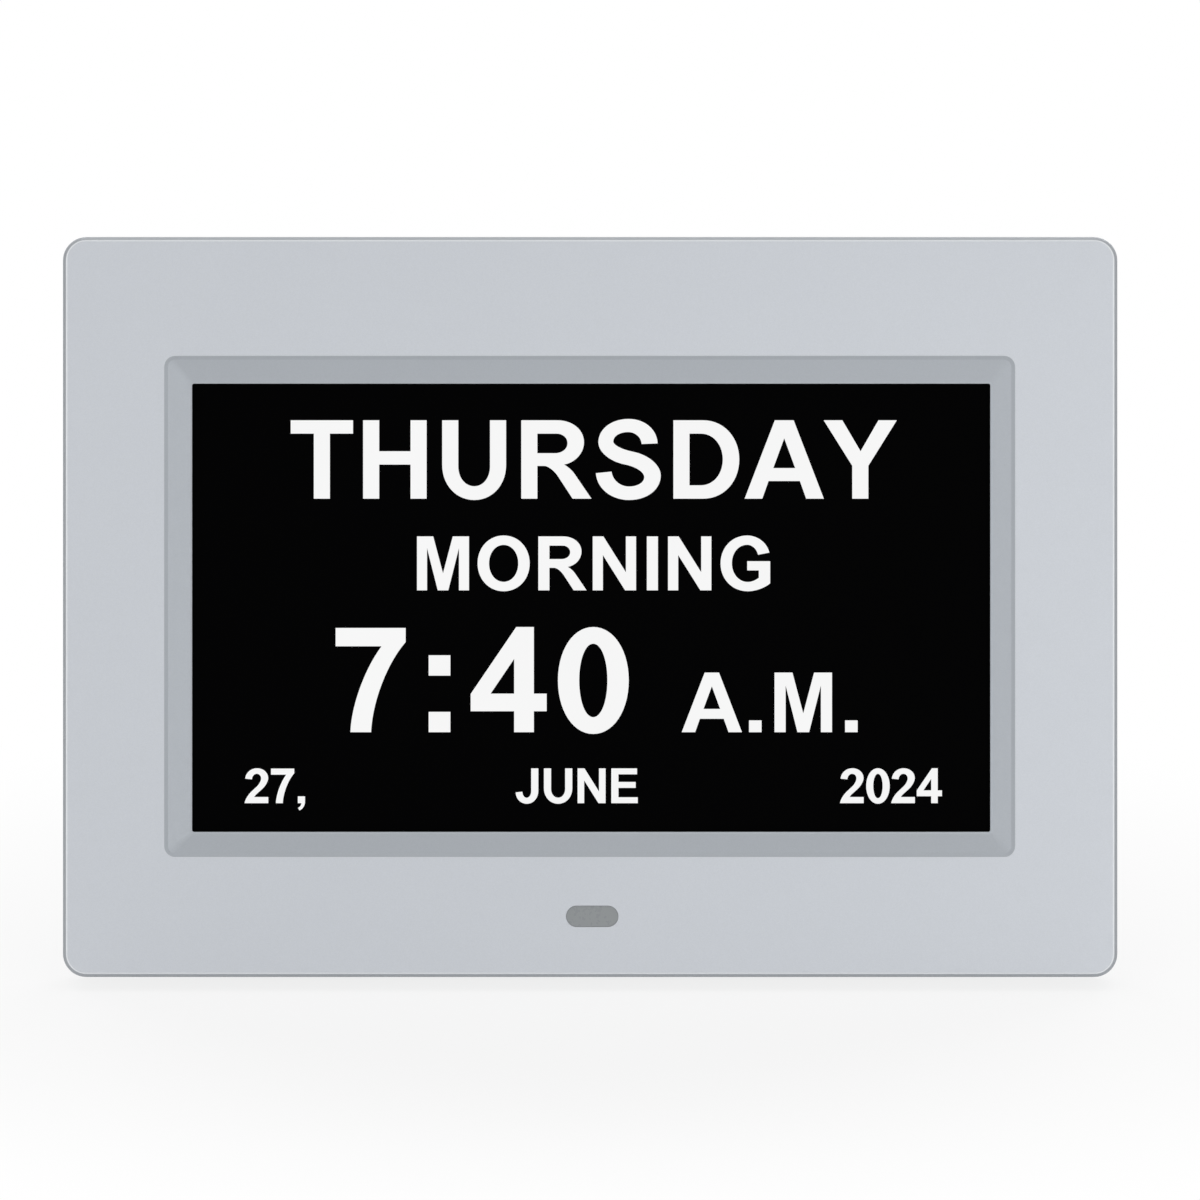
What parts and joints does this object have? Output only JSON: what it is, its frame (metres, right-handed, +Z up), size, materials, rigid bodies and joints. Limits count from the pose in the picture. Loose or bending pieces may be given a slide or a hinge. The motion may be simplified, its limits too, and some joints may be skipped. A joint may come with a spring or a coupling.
{
  "type": "day clock",
  "caption": "Leaning desk day clock: wide silver-grey bezel round a sunken screen that shows day, time and date, on a hinged leg with keys behind.",
  "frame": {"origin": "centre of the footprint on the table, under the middle of the clock's depth, at the height of the feet's soles", "axes": "+X to the right as seen from the front, +Y to the back, +Z up; the fascia faces -Y and leans back 12 degrees"},
  "size_m": [0.2036, 0.062, 0.1423],
  "materials": {
    "silver_plastic": "satin silver lacquer over moulded plastic",
    "cover_plastic": "fine spark-textured moulded plastic",
    "key_plastic": "moulded keys, worn smooth",
    "white_plastic": "plain moulded",
    "black_plastic": "plain moulded",
    "smoke_plastic": "grey smoke, satin",
    "clear_acrylic": "polished",
    "nylon": "natural",
    "ribbon_film": "amber film",
    "circuit_board": "solder mask",
    "lead_jacket": "insulated lead",
    "black_rubber": "matt",
    "black_foam": "closed-cell foam",
    "screen_black": "anti-glare film over the dark panel",
    "panel_glass": "panel glass",
    "plain_steel": "zinc-plated sheet",
    "screw_steel": "dark-plated",
    "cell_steel": "nickel-plated",
    "can_aluminium": "drawn can",
    "contact_brass": "plated",
    "cone_paper": "pressed paper"
  },
  "bodies": {
    "clock_case": {"front_bezel": "silver_plastic", "rear_cover": "cover_plastic", "case_screws": "screw_steel", "rubber_feet": "black_rubber", "hinge_pin": "plain_steel", "hinge_washers": "nylon", "screen_gasket": "black_foam", "panel_steel_frame": "plain_steel", "panel_polarizer": "screen_black", "panel_glass": "panel_glass", "panel_mould_frame": "white_plastic", "panel_films": "white_plastic", "panel_light_guide": "clear_acrylic", "panel_reflector": "white_plastic", "panel_led_strip": "white_plastic", "panel_back_plate": "plain_steel", "panel_ribbon": "ribbon_film", "panel_clamps": "plain_steel", "panel_clamp_screws": "screw_steel", "ir_window": "smoke_plastic", "ir_board": "circuit_board", "ir_receiver": "black_plastic", "ir_board_screws": "screw_steel", "ir_lead": "lead_jacket", "key_board": "circuit_board", "key_switches": "black_plastic", "key_board_screws": "screw_steel", "key_lead": "lead_jacket", "main_board": "circuit_board", "board_screws": "screw_steel", "board_chips": "black_plastic", "board_connectors": "nylon", "board_capacitors": "can_aluminium", "coin_cell": "cell_steel", "coin_cell_holder": "black_plastic", "dc_jack": "black_plastic", "dc_jack_pin": "contact_brass", "usb_socket": "plain_steel", "usb_tongue": "black_plastic", "card_socket": "plain_steel", "speaker_frames": "plain_steel", "speaker_cones": "cone_paper", "speaker_foam_rings": "black_foam", "speaker_leads": "lead_jacket"},
    "leg": {"stand_leg": "cover_plastic", "leg_shoe": "black_rubber"},
    "key_1": {"key_cap_1": "key_plastic", "key_stem_1": "white_plastic"},
    "key_2": {"key_cap_2": "key_plastic", "key_stem_2": "white_plastic"},
    "key_3": {"key_cap_3": "key_plastic", "key_stem_3": "white_plastic"},
    "key_4": {"key_cap_4": "key_plastic", "key_stem_4": "white_plastic"},
    "key_5": {"key_cap_5": "key_plastic", "key_stem_5": "white_plastic"},
    "key_6": {"key_cap_6": "key_plastic", "key_stem_6": "white_plastic"}
  },
  "joints": [
    {"name": "leg_hinge", "type": "hinge", "parent": "clock_case", "child": "leg", "pos_m": [0, 0.00854, 0.07404], "axis": [1, 0, 0], "range_deg": [-27, 0]},
    {"name": "key_1_press", "type": "slide", "parent": "clock_case", "child": "key_1", "axis": [0, -0.9781, 0.2079], "range_m": [0, 0.0003], "stiffness_N_per_m": 2000},
    {"name": "key_2_press", "type": "slide", "parent": "clock_case", "child": "key_2", "axis": [0, -0.9781, 0.2079], "range_m": [0, 0.0003], "stiffness_N_per_m": 2000},
    {"name": "key_3_press", "type": "slide", "parent": "clock_case", "child": "key_3", "axis": [0, -0.9781, 0.2079], "range_m": [0, 0.0003], "stiffness_N_per_m": 2000},
    {"name": "key_4_press", "type": "slide", "parent": "clock_case", "child": "key_4", "axis": [0, -0.9781, 0.2079], "range_m": [0, 0.0003], "stiffness_N_per_m": 2000},
    {"name": "key_5_press", "type": "slide", "parent": "clock_case", "child": "key_5", "axis": [0, -0.9781, 0.2079], "range_m": [0, 0.0003], "stiffness_N_per_m": 2000},
    {"name": "key_6_press", "type": "slide", "parent": "clock_case", "child": "key_6", "axis": [0, -0.9781, 0.2079], "range_m": [0, 0.0003], "stiffness_N_per_m": 2000}
  ]
}
